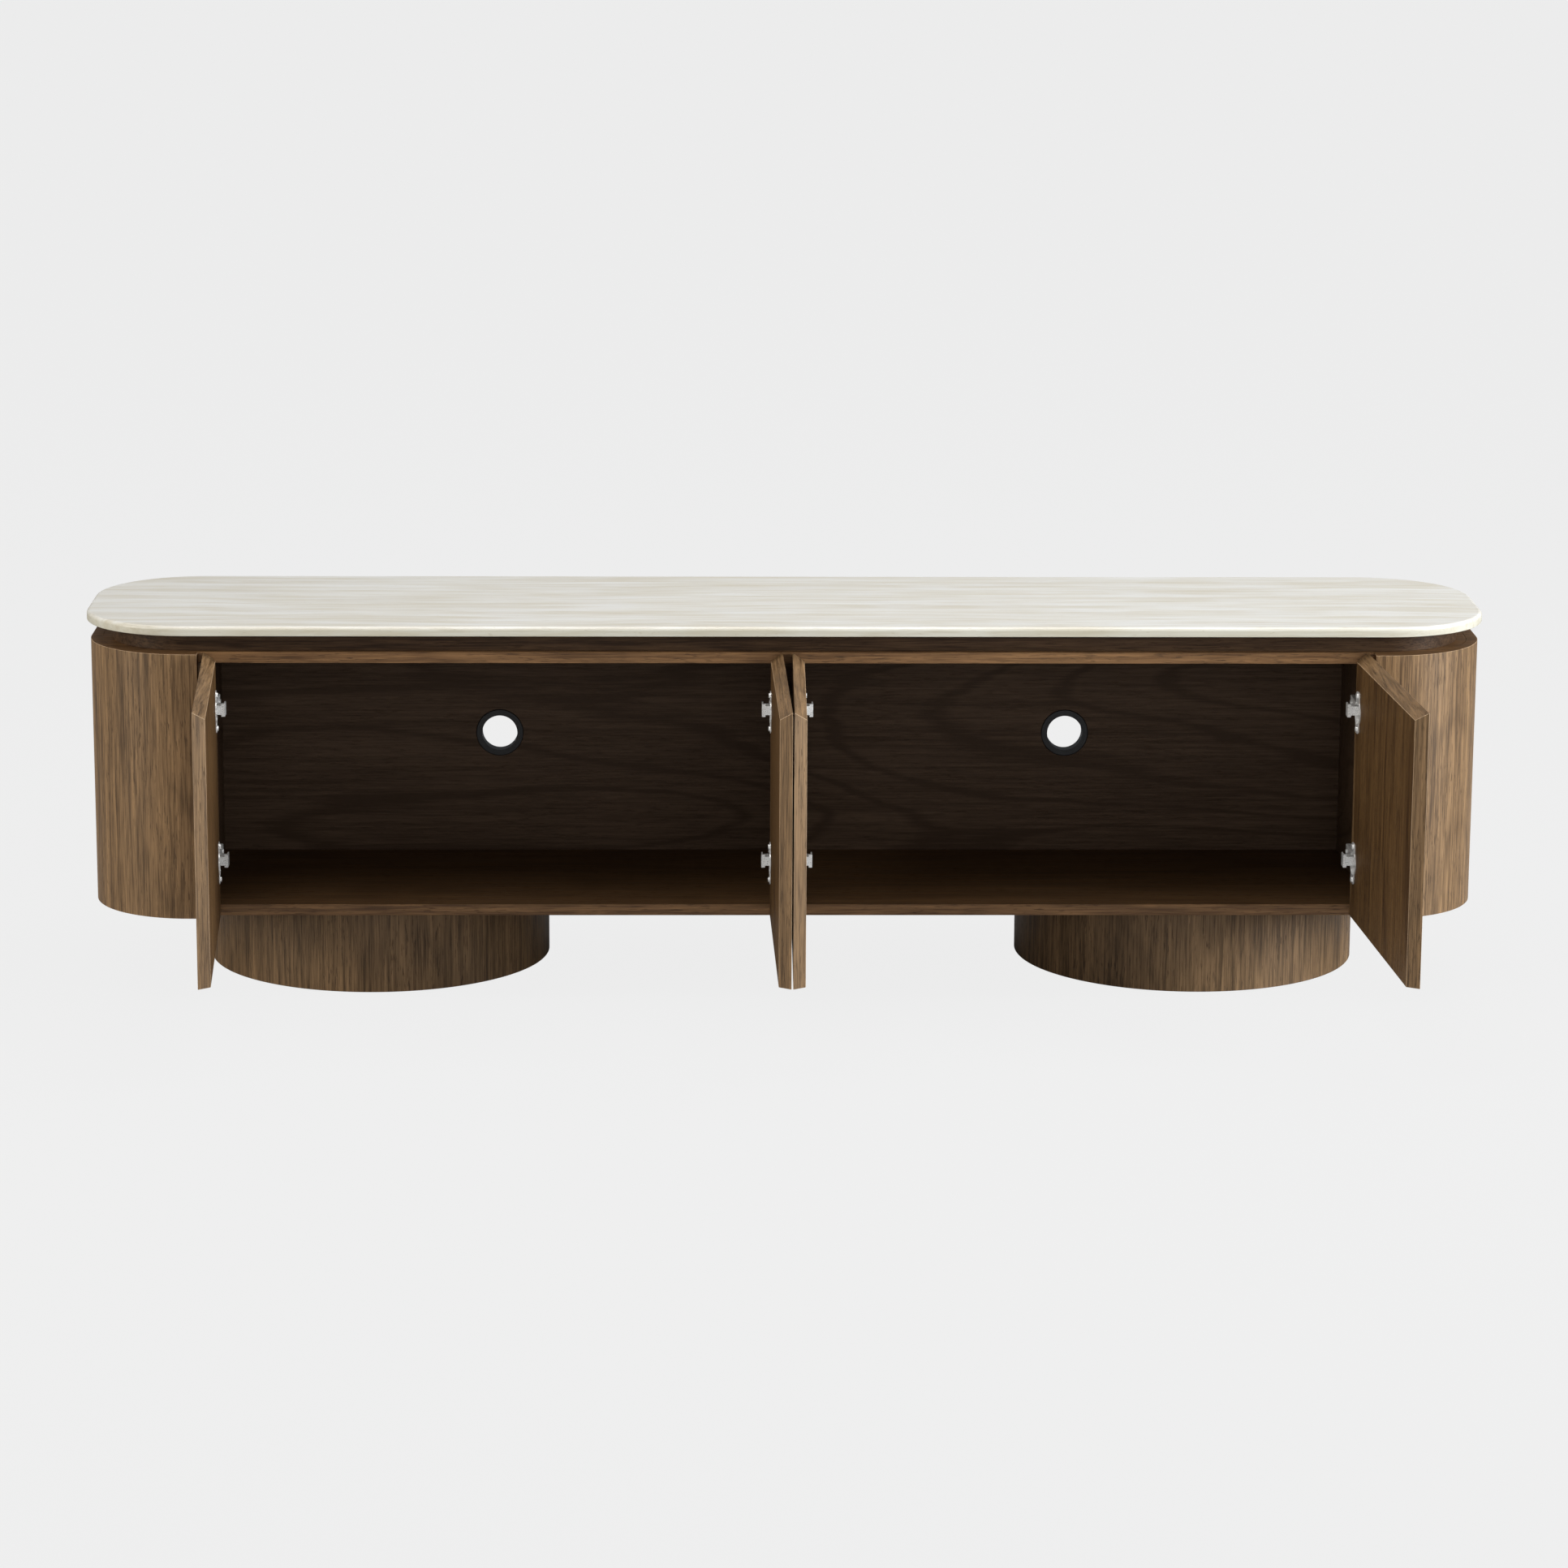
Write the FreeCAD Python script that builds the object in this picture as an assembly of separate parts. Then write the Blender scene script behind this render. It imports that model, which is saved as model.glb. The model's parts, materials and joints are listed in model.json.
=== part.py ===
import FreeCAD, Part
import math
import os

# Low media cabinet: a stone slab on a recessed riser, a walnut carcass with bent ends,
# four doors on concealed hinges, and two round-fronted plinths.
# Millimetres. +X to the right, +Y to the back, +Z up. The origin is on the floor, midway
# along the cabinet, in the plane of the closed doors' front faces. The doors stand open.

# ---- driving dimensions -------------------------------------------------------------
OVERALL_HEIGHT = 550.0
CARCASS_LENGTH = 1990.0
CARCASS_DEPTH = 390.0
CARCASS_CORNER = 145.0
PLINTH_HEIGHT = 126.0

SLAB_OVERHANG = 5.0
SLAB_THICK = 14.0
SLAB_TOP_ROUND = 5.5
SLAB_UNDER_BEVEL = 1.0
RISER_HEIGHT = 26.0
RISER_INSET = 30.0
PAD_THICK = 1.0
PAD_RADIUS = 15.0
PAD_COLUMNS = 6
ROW_SHARE = 0.25            # pad and riser screw rows lie this share of the depth off centre

SHELL_THICK = 16.0
LIP_PAST_UPRIGHT = 3.0      # straight run of the shell between its bend and the upright
PANEL_THICK = 16.0
BACK_THICK = 16.0
BACK_RECESS = 19.0          # from the rear of the shells to the back panel's outer face
BOARD_REAR_SETBACK = 18.0   # from the rear of the shells to the other boards' rear edges
RIB_THICK = 12.0

DOOR_THICK = 17.0
DOOR_GAP = 3.0              # between doors, and from door to shell
DOOR_STANDOFF = 3.5         # from a closed door's inner face to the carcass front
DOOR_BOTTOM_LIFT = 2.0      # the closed door stops this far above the carcass underside
BEVEL_STRIP = 4.0           # outer strip left square along a bevelled door edge
BEVEL_RUN = 12.0            # width of the finger bevel across the inner face
HINGE_EDGE_BEVEL = 5.0

HINGE_FROM_END = 81.0       # hinge centre from the door's top or bottom edge
PIN_FROM_EDGE = 12.0
PIN_FROM_FACE = 6.8
PIN_RADIUS = 1.25
PIN_FIT = 0.05
EYE_RADIUS = 2.6
PIN_FROM_CUP_WALL = 3.67    # from the pin to the cup's inner wall, beside the arm's neck
CUP_RADIUS = 17.5
CUP_WALL = 1.0
CUP_FLOOR = 0.8
CUP_SKIN = 3.0              # door left in front of the cup
FLANGE_THICK = 1.4
FLANGE_RIM = 0.5
FLANGE_WIDTH = 20.0
FLANGE_HEIGHT = 60.0
FLANGE_CORNER = 7.0
CUP_SCREW_SPACING = 48.0
ARM_SHEET = 2.0
ARM_CORNER = 1.2
ARM_CUP_GAP = 2.5           # from the arm's bend to the far wall of a closed door's cup
ARM_NECK_HEIGHT = 13.0
ARM_BODY_HEIGHT = 18.5
ARM_HEAD = 5.0              # width of the arm's broad bend, seen from the front
ARM_BODY_OFFSET = 8.5       # from the pin to the web of the folded body
ARM_CHANNEL = 7.0           # depth of the folded body, towards its mounting plate
ARM_END = 55.0              # arm's rear end, from the carcass front
PLATE_SHEET = 2.0
PLATE_SETBACK = 37.0        # screw line from the carcass front
PLATE_SCREW_SPACING = 32.0
PLATE_WING_HEIGHT = 48.0
PLATE_WING_WIDTH = 14.0
PLATE_CORNER = 5.6
PLATE_BLOCK_HEIGHT = 12.0
PLATE_BLOCK_FRONT = 20.0    # from the carcass front
ARM_SCREW_FROM_FRONT = 45.0

OUTER_OPEN = (86.6, 93.6)   # how far the left and right outer doors stand open
CENTRE_LEAN = 5.75          # an open centre door's free edge leans in this far past square

GROMMET_X = 420.0
GROMMET_HEIGHT = 195.0      # above the carcass underside
GROMMET_BORE = 26.0
GROMMET_SLEEVE = 30.0
GROMMET_FLANGE = 35.0
GROMMET_FLANGE_THICK = 2.5
GROMMET_ROUND = 1.5
GROMMET_FIT = 0.2
RING_THICK = 3.0

PLINTH_X = 597.0
PLINTH_RADIUS = 250.0
PLINTH_SETBACK = 60.0       # from the doors' face to the front of the drum
PLINTH_BACK_SETBACK = 20.0  # from the rear of the shells to the drum's flat back
PLINTH_WALL = 16.0
PLINTH_TOP_THICK = 18.0
GLIDE_THICK = 1.5
GLIDE_RADIUS = 4.5
GLIDE_INSET = 11.0          # from the drum's outer face to a glide's middle
GLIDE_SPIKE_RADIUS = 1.2
GLIDE_SPIKE_LENGTH = 12.0
GLIDE_TURNS = (-160, -110, -70, -20)    # degrees round the drum, from +X

# screws: shank radius, length, head radius, head height
CUP_SCREW = (1.6, 11.5, 3.4, 1.9)
ARM_SCREW = (2.0, 9.0, 3.6, 1.8)
PLATE_SCREW = (1.8, 7.5, 3.6, 2.0)
CARCASS_SCREW = (2.5, 50.0, 4.5, 3.5)
RISER_SCREW = (2.0, 31.0, 4.0, 3.0)
PLINTH_SCREW = (2.5, 29.0, 4.5, 3.5)
SCREW_POINT = 0.25          # a tip's blunt end, as a share of the shank
RECESS_WIDTH = 0.8          # the cross cut's width, as a share of the head's radius
RECESS_DEPTH = 1.0
RECESS_BAR = 0.25           # one bar's thickness, as a share of the cross's width
SCREW_ROW_INSET = 40.0      # from the carcass front, and from the back panel
RISER_SCREW_X = (-796.0, -398.0, 398.0, 796.0)
PLINTH_SCREW_INSET = 48.0   # from the drum's flat back
NEAR = 0.01                 # slack when edges are picked by place

# ---- worked out from them -----------------------------------------------------------
SLAB_LENGTH = CARCASS_LENGTH + 2 * SLAB_OVERHANG
SLAB_CORNER = CARCASS_CORNER + SLAB_OVERHANG
MID_Y = CARCASS_DEPTH / 2
ROWS_Y = (MID_Y - CARCASS_DEPTH * ROW_SHARE, MID_Y + CARCASS_DEPTH * ROW_SHARE)
HALF = CARCASS_LENGTH / 2
Z_BOTTOM = PLINTH_HEIGHT
Z_SLAB = OVERALL_HEIGHT - SLAB_THICK
Z_PAD = Z_SLAB - PAD_THICK
Z_TOP = Z_PAD - RISER_HEIGHT
Z_FLOOR = Z_BOTTOM + PANEL_THICK
Z_CEILING = Z_TOP - PANEL_THICK
SHELL_END_X = HALF - CARCASS_CORNER - LIP_PAST_UPRIGHT - PANEL_THICK
FRONT_Y = DOOR_THICK + DOOR_STANDOFF
BACK_OUTER_Y = CARCASS_DEPTH - BACK_RECESS
BACK_INNER_Y = BACK_OUTER_Y - BACK_THICK
REAR_Y = CARCASS_DEPTH - BOARD_REAR_SETBACK
UPRIGHT_OUTER_X = SHELL_END_X + PANEL_THICK
PARTITION_HALF = PANEL_THICK / 2
DOOR_OUTER_X = SHELL_END_X - DOOR_GAP
DOOR_INNER_X = DOOR_GAP / 2
DOOR_WIDTH = (DOOR_OUTER_X - DOOR_INNER_X - DOOR_GAP) / 2
CENTRE_OPEN = 90 + math.degrees(math.asin(CENTRE_LEAN / DOOR_WIDTH))
DOOR_Z = Z_BOTTOM + DOOR_BOTTOM_LIFT
DOOR_HEIGHT = Z_TOP - DOOR_Z
CUP_FROM_EDGE = (PIN_FROM_EDGE - PIN_FROM_CUP_WALL
                 + math.sqrt((CUP_RADIUS - CUP_WALL) ** 2 - (ARM_NECK_HEIGHT / 2) ** 2))
PIN_TO_CUP = CUP_FROM_EDGE - PIN_FROM_EDGE
ARM_LEG = (PIN_TO_CUP + math.sqrt((CUP_RADIUS - CUP_WALL) ** 2 - (ARM_BODY_HEIGHT / 2) ** 2)
           - ARM_CUP_GAP - ARM_SHEET / 2)
HINGE_HEIGHTS = (DOOR_Z + HINGE_FROM_END, Z_TOP - HINGE_FROM_END)
PLINTH_Y = PLINTH_SETBACK + PLINTH_RADIUS
PLINTH_BACK_Y = CARCASS_DEPTH - PLINTH_BACK_SETBACK

# door name, x of its hinge edge, which way it runs from there, how far it stands open
DOORS = (
    ("door_1", -DOOR_OUTER_X, 1, OUTER_OPEN[0]),
    ("door_2", -DOOR_INNER_X, -1, CENTRE_OPEN),
    ("door_3", DOOR_INNER_X, 1, CENTRE_OPEN),
    ("door_4", DOOR_OUTER_X, -1, OUTER_OPEN[1]),
)
SIDES = (("left", -1), ("right", 1))

X_AXIS = FreeCAD.Vector(1, 0, 0)
Y_AXIS = FreeCAD.Vector(0, 1, 0)
Z_AXIS = FreeCAD.Vector(0, 0, 1)
nodes = {}


# ---- shapes used all over -----------------------------------------------------------
def vec(x, y, z):
    return FreeCAD.Vector(x, y, z)


def box(x0, x1, y0, y1, z0, z1):
    """A block between two corners."""
    return Part.makeBox(x1 - x0, y1 - y0, z1 - z0, vec(x0, y0, z0))


def rounded_board(length, depth, corner, z0, z1):
    """A board with round plan corners, centred on the carcass."""
    hx = length / 2
    hy = depth / 2
    wire = []
    for sx, sy, turn in ((1, 1, 0), (-1, 1, 90), (-1, -1, 180), (1, -1, 270)):
        centre = vec(sx * (hx - corner), MID_Y + sy * (hy - corner), z0)
        wire.append(Part.makeCircle(corner, centre, Z_AXIS, turn, turn + 90))
    corners = []
    for arc, following in zip(wire, wire[1:] + wire[:1]):
        corners.append(arc)
        corners.append(Part.makeLine(arc.valueAt(arc.LastParameter),
                                     following.valueAt(following.FirstParameter)))
    return Part.Face(Part.Wire(corners)).extrude(vec(0, 0, z1 - z0))


def d_board(x, radius, y_back, z0, z1):
    """A board whose front is round and whose back is cut straight."""
    centre = vec(x, PLINTH_Y, z0)
    turn = math.degrees(math.asin((y_back - PLINTH_Y) / radius))
    arc = Part.makeCircle(radius, centre, Z_AXIS, 180 - turn, 360 + turn)
    chord = Part.makeLine(arc.valueAt(arc.LastParameter), arc.valueAt(arc.FirstParameter))
    return Part.Face(Part.Wire([arc, chord])).extrude(vec(0, 0, z1 - z0))


def screw(seat, heading, shank, length, head, head_height, countersunk=False):
    """A screw: seat is where its head bears, and heading is where its tip points."""
    body = Part.makeCylinder(shank, length - shank, seat, heading)
    tip = Part.makeCone(shank, shank * SCREW_POINT, shank, seat + heading * (length - shank),
                        heading)
    if countersunk:
        top = Part.makeCone(head, shank, head_height, seat, heading)
    else:
        top = Part.makeCylinder(head, head_height, seat - heading * head_height, heading)
    return body.fuse([tip, top]).removeSplitter().Solids[0]


def with_recess(body, face, heading, head):
    """A screw body with the cross cut in its head. face is the middle of the head's face."""
    width = head * RECESS_WIDTH
    thick = width * RECESS_BAR
    for turn in (0, 90):
        bar = Part.makeBox(width, thick, RECESS_DEPTH * 2,
                           vec(-width / 2, -thick / 2, -RECESS_DEPTH))
        bar.rotate(vec(0, 0, 0), Z_AXIS, turn)
        bar.Placement = FreeCAD.Placement(face, FreeCAD.Rotation(Z_AXIS, heading)).multiply(
            bar.Placement)
        body = body.cut(bar)
    return body


def keep(name, *solids):
    """Store a node: one solid, or a group of separate ones."""
    flat = []
    for item in solids:
        flat.extend(item.Solids)
    nodes[name] = flat[0] if len(flat) == 1 else Part.makeCompound(flat)


# ---- carcass ------------------------------------------------------------------------
def carcass_boards():
    """The bent end shells, and the boards that stand between them."""
    inside = (CARCASS_LENGTH - 2 * SHELL_THICK, CARCASS_DEPTH - 2 * SHELL_THICK,
              CARCASS_CORNER - SHELL_THICK)
    ring = rounded_board(CARCASS_LENGTH, CARCASS_DEPTH, CARCASS_CORNER, Z_BOTTOM, Z_TOP)
    ring = ring.cut(rounded_board(*inside, Z_BOTTOM, Z_TOP))
    rib_z = (Z_BOTTOM + Z_TOP - RIB_THICK) / 2
    rib = rounded_board(*inside, rib_z, rib_z + RIB_THICK)
    for side, sign in SIDES:
        near, far = sorted((sign * SHELL_END_X, sign * HALF))
        keep(side + "_end_shell", ring.common(box(near, far, 0, CARCASS_DEPTH, Z_BOTTOM, Z_TOP)))
        near, far = sorted((sign * UPRIGHT_OUTER_X, sign * HALF))
        keep(side + "_end_rib", rib.common(box(near, far, 0, CARCASS_DEPTH, Z_BOTTOM, Z_TOP)))
        near, far = sorted((sign * SHELL_END_X, sign * UPRIGHT_OUTER_X))
        keep(side + "_side_upright", box(near, far, SHELL_THICK, CARCASS_DEPTH - SHELL_THICK,
                                         Z_FLOOR, Z_CEILING))
    # between the shells, the top and bottom stop short of the closed doors and of the rear
    before = box(-SHELL_END_X, SHELL_END_X, 0, FRONT_Y, Z_BOTTOM, Z_TOP)
    behind = box(-SHELL_END_X, SHELL_END_X, REAR_Y, CARCASS_DEPTH, Z_BOTTOM, Z_TOP)
    keep("top_panel", rounded_board(*inside, Z_CEILING, Z_TOP).cut([before, behind]))
    keep("bottom_panel", rounded_board(*inside, Z_BOTTOM, Z_FLOOR).cut([before, behind]))
    keep("centre_partition", box(-PARTITION_HALF, PARTITION_HALF, FRONT_Y, BACK_INNER_Y,
                                 Z_FLOOR, Z_CEILING))
    keep("back_panel", box(-SHELL_END_X, SHELL_END_X, BACK_INNER_Y, BACK_OUTER_Y,
                           Z_FLOOR, Z_CEILING))


def top_and_riser():
    """The stone slab, the board that lifts it, and the soft pads that it is bonded on."""
    slab = rounded_board(SLAB_LENGTH, CARCASS_DEPTH + 2 * SLAB_OVERHANG, SLAB_CORNER,
                         Z_SLAB, OVERALL_HEIGHT)
    above = [e for e in slab.Edges if e.BoundBox.ZMin > OVERALL_HEIGHT - NEAR]
    slab = slab.makeFillet(SLAB_TOP_ROUND, above)
    below = [e for e in slab.Edges if e.BoundBox.ZMax < Z_SLAB + NEAR]
    keep("stone_top", slab.makeChamfer(SLAB_UNDER_BEVEL, below))
    keep("top_riser", rounded_board(CARCASS_LENGTH - 2 * RISER_INSET,
                                    CARCASS_DEPTH - 2 * RISER_INSET,
                                    CARCASS_CORNER - RISER_INSET, Z_TOP, Z_PAD))
    pads = []
    span = CARCASS_LENGTH - 2 * CARCASS_CORNER
    for column in range(PAD_COLUMNS):
        x = span * (column / (PAD_COLUMNS - 1) - 0.5)
        for y in ROWS_Y:
            pads.append(Part.makeCylinder(PAD_RADIUS, PAD_THICK, vec(x, y, Z_PAD)))
    keep("stone_bonding_pads", *pads)


def cable_grommets():
    """Black rings through the back panel, each held by a ring screwed on from behind."""
    z = Z_BOTTOM + GROMMET_HEIGHT
    rings = []
    for side, sign in SIDES:
        x = sign * GROMMET_X
        front = vec(x, BACK_INNER_Y - GROMMET_FLANGE_THICK, z)
        length = GROMMET_FLANGE_THICK + BACK_THICK + RING_THICK
        flange = Part.makeCylinder(GROMMET_FLANGE, GROMMET_FLANGE_THICK, front, Y_AXIS)
        rim = [e for e in flange.Edges if e.BoundBox.YMax < front.y + NEAR]
        flange = flange.makeFillet(GROMMET_ROUND, rim)
        body = flange.fuse(Part.makeCylinder(GROMMET_SLEEVE, length, front, Y_AXIS))
        body = body.cut(Part.makeCylinder(GROMMET_BORE, length, front, Y_AXIS))
        keep(side + "_cable_grommet", body.removeSplitter())
        hole = Part.makeCylinder(GROMMET_SLEEVE + GROMMET_FIT, BACK_THICK,
                                 vec(x, BACK_INNER_Y, z), Y_AXIS)
        nodes["back_panel"] = nodes["back_panel"].cut(hole)
        seat = vec(x, BACK_OUTER_Y, z)
        ring = Part.makeCylinder(GROMMET_FLANGE, RING_THICK, seat, Y_AXIS)
        rings.append(ring.cut(Part.makeCylinder(GROMMET_SLEEVE + GROMMET_FIT, RING_THICK,
                                                seat, Y_AXIS)))
    keep("grommet_retaining_rings", *rings)


def plinths():
    """Two hollow drums with round fronts and flat backs, on nylon glides."""
    glides = []
    for side, sign in SIDES:
        x = sign * PLINTH_X
        inner_back = PLINTH_BACK_Y - PLINTH_WALL
        inner = PLINTH_RADIUS - PLINTH_WALL
        drum = d_board(x, PLINTH_RADIUS, PLINTH_BACK_Y, GLIDE_THICK, Z_BOTTOM)
        hollow = d_board(x, inner, PLINTH_BACK_Y, GLIDE_THICK, Z_BOTTOM)
        shell = drum.cut(hollow)
        back = hollow.common(box(x - PLINTH_RADIUS, x + PLINTH_RADIUS, inner_back,
                                 PLINTH_BACK_Y, GLIDE_THICK, Z_BOTTOM))
        top = d_board(x, inner, inner_back, Z_BOTTOM - PLINTH_TOP_THICK, Z_BOTTOM)
        keep(side + "_plinth_front", shell)
        keep(side + "_plinth_back", back)
        keep(side + "_plinth_top_plate", top)
        middle = PLINTH_RADIUS - GLIDE_INSET
        spots = []
        for turn in GLIDE_TURNS:
            angle = math.radians(turn)
            spots.append((x + middle * math.cos(angle), PLINTH_Y + middle * math.sin(angle),
                          side + "_plinth_front"))
        for offset in (-PLINTH_RADIUS / 2, PLINTH_RADIUS / 2):
            spots.append((x + offset, PLINTH_BACK_Y - PLINTH_WALL / 2, side + "_plinth_back"))
        for gx, gy, host in spots:
            spike = Part.makeCylinder(GLIDE_SPIKE_RADIUS, GLIDE_SPIKE_LENGTH,
                                      vec(gx, gy, GLIDE_THICK))
            nodes[host] = nodes[host].cut(spike)
            foot = Part.makeCylinder(GLIDE_RADIUS, GLIDE_THICK, vec(gx, gy, 0))
            glides.append(foot.fuse(spike).removeSplitter())
    keep("floor_glides", *glides)


# ---- doors and hinges, drawn closed with x running from the hinge edge --------------
def door_leaf():
    """One door leaf: finger bevels on the top and free edges, and the hinge cup bores."""
    leaf = box(0, DOOR_WIDTH, 0, DOOR_THICK, DOOR_Z, Z_TOP)
    back = DOOR_THICK
    strip = BEVEL_STRIP
    top = Part.makePolygon([vec(0, back, Z_TOP - BEVEL_RUN), vec(0, back, Z_TOP),
                            vec(0, strip, Z_TOP), vec(0, back, Z_TOP - BEVEL_RUN)])
    leaf = leaf.cut(Part.Face(top).extrude(vec(DOOR_WIDTH, 0, 0)))
    free = Part.makePolygon([vec(DOOR_WIDTH - BEVEL_RUN, back, DOOR_Z),
                             vec(DOOR_WIDTH, back, DOOR_Z), vec(DOOR_WIDTH, strip, DOOR_Z),
                             vec(DOOR_WIDTH - BEVEL_RUN, back, DOOR_Z)])
    leaf = leaf.cut(Part.Face(free).extrude(vec(0, 0, DOOR_HEIGHT)))
    ease = HINGE_EDGE_BEVEL
    hinge = Part.makePolygon([vec(0, back - ease, DOOR_Z), vec(ease, back, DOOR_Z),
                              vec(0, back, DOOR_Z), vec(0, back - ease, DOOR_Z)])
    leaf = leaf.cut(Part.Face(hinge).extrude(vec(0, 0, DOOR_HEIGHT)))
    for z in HINGE_HEIGHTS:
        leaf = leaf.cut(Part.makeCylinder(CUP_RADIUS, DOOR_THICK - CUP_SKIN,
                                          vec(CUP_FROM_EDGE, CUP_SKIN, z), Y_AXIS))
        for hole in cup_screws(z):
            leaf = leaf.cut(hole)
    return leaf


def hinge_pin(z):
    """The pin that the door turns on, seated in both sides of the cup."""
    half = math.sqrt(CUP_RADIUS ** 2 - (PIN_TO_CUP + PIN_RADIUS) ** 2)
    return Part.makeCylinder(PIN_RADIUS, 2 * half, vec(PIN_FROM_EDGE, PIN_FROM_FACE, z - half))


def cup_screws(z):
    """The two screws that hold a cup's flange to the door, as plain bodies."""
    screws = []
    for sign in (-1, 1):
        seat = vec(CUP_FROM_EDGE, DOOR_THICK + FLANGE_THICK, z + sign * CUP_SCREW_SPACING / 2)
        screws.append(screw(seat, -Y_AXIS, *CUP_SCREW))
    return screws


def hinge_cup(z):
    """The pressed steel cup with its two-winged flange on the door's inner face."""
    outer = Part.makeCylinder(CUP_RADIUS, DOOR_THICK - CUP_SKIN,
                              vec(CUP_FROM_EDGE, CUP_SKIN, z), Y_AXIS)
    flange = Part.makeCylinder(CUP_RADIUS + FLANGE_RIM, FLANGE_THICK,
                               vec(CUP_FROM_EDGE, DOOR_THICK, z), Y_AXIS)
    wing = box(CUP_FROM_EDGE - FLANGE_WIDTH / 2, CUP_FROM_EDGE + FLANGE_WIDTH / 2, DOOR_THICK,
               DOOR_THICK + FLANGE_THICK, z - FLANGE_HEIGHT / 2, z + FLANGE_HEIGHT / 2)
    upright = [e for e in wing.Edges if abs(e.tangentAt(e.FirstParameter).y) > 0.99]
    wing = wing.makeFillet(FLANGE_CORNER, upright)
    cup = outer.fuse([flange, wing]).removeSplitter()
    depth = DOOR_THICK + FLANGE_THICK - CUP_SKIN - CUP_FLOOR
    cup = cup.cut(Part.makeCylinder(CUP_RADIUS - CUP_WALL, depth,
                                    vec(CUP_FROM_EDGE, CUP_SKIN + CUP_FLOOR, z), Y_AXIS))
    cup = cup.cut(hinge_pin(z))
    for hole in cup_screws(z):
        cup = cup.cut(hole)
    return cup


def hinge_arm(z):
    """The cranked arm: an eye on the pin, a neck out of the cup, and a folded body behind."""
    neck = ARM_NECK_HEIGHT / 2
    wide = ARM_BODY_HEIGHT / 2
    sheet = ARM_SHEET / 2
    bend = PIN_FROM_EDGE + ARM_LEG + sheet
    web = PIN_FROM_EDGE + ARM_BODY_OFFSET + sheet
    y0 = PIN_FROM_FACE - sheet
    y1 = FRONT_Y + ARM_SHEET
    eye = Part.makeCylinder(EYE_RADIUS, ARM_NECK_HEIGHT,
                            vec(PIN_FROM_EDGE, PIN_FROM_FACE, z - neck))
    stem = box(PIN_FROM_EDGE, bend, y0, y0 + ARM_SHEET, z - neck, z + neck)
    head = box(bend - ARM_HEAD, bend, y0, y0 + ARM_SHEET, z - wide, z + wide)
    reach = box(bend - ARM_SHEET, bend, y0, y1 + ARM_SHEET, z - wide, z + wide)
    crank = box(web - ARM_SHEET, bend, y1, y1 + ARM_SHEET, z - neck, z + neck)
    body = box(web - ARM_CHANNEL, web, y1, FRONT_Y + ARM_END, z - wide, z + wide)
    folds = [e for e in body.Edges if abs(e.tangentAt(e.FirstParameter).y) > 0.99
             and e.CenterOfMass.x > web - NEAR]
    body = body.makeFillet(ARM_CORNER, folds)
    body = body.cut(box(web - ARM_CHANNEL, web - ARM_SHEET, y1, FRONT_Y + ARM_END,
                        z - wide + ARM_SHEET, z + wide - ARM_SHEET))
    arm = eye.fuse([stem, head, reach, crank, body]).removeSplitter()
    arm = arm.cut(Part.makeCylinder(PIN_RADIUS + PIN_FIT, ARM_NECK_HEIGHT,
                                    vec(PIN_FROM_EDGE, PIN_FROM_FACE, z - neck)))
    return arm.cut(arm_screw(z))


def arm_screw(z):
    """The screw that clamps the arm to its mounting plate, as a plain body."""
    top = PIN_FROM_EDGE + ARM_BODY_OFFSET + ARM_SHEET / 2
    return screw(vec(top, FRONT_Y + ARM_SCREW_FROM_FRONT, z), -X_AXIS, *ARM_SCREW)


def plate_screws(z, base):
    """The two screws that hold a mounting plate to the upright, as plain bodies."""
    screws = []
    for sign in (-1, 1):
        seat = vec(base + PLATE_SHEET, FRONT_Y + PLATE_SETBACK,
                   z + sign * PLATE_SCREW_SPACING / 2)
        screws.append(screw(seat, -X_AXIS, *PLATE_SCREW))
    return screws


def mounting_plate(z, base):
    """The cast plate on the upright's face. base is that face, from the door's hinge edge."""
    top = PIN_FROM_EDGE + ARM_BODY_OFFSET - ARM_SHEET / 2
    line = FRONT_Y + PLATE_SETBACK
    wing = box(base, base + PLATE_SHEET, line - PLATE_WING_WIDTH / 2,
               line + PLATE_WING_WIDTH / 2, z - PLATE_WING_HEIGHT / 2, z + PLATE_WING_HEIGHT / 2)
    corners = [e for e in wing.Edges if abs(e.tangentAt(e.FirstParameter).x) > 0.99]
    wing = wing.makeFillet(PLATE_CORNER, corners)
    block = box(base, top, FRONT_Y + PLATE_BLOCK_FRONT, FRONT_Y + ARM_END,
                z - PLATE_BLOCK_HEIGHT / 2, z + PLATE_BLOCK_HEIGHT / 2)
    plate = wing.fuse(block).removeSplitter().cut(arm_screw(z))
    for hole in plate_screws(z, base):
        plate = plate.cut(hole)
    return plate


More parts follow.
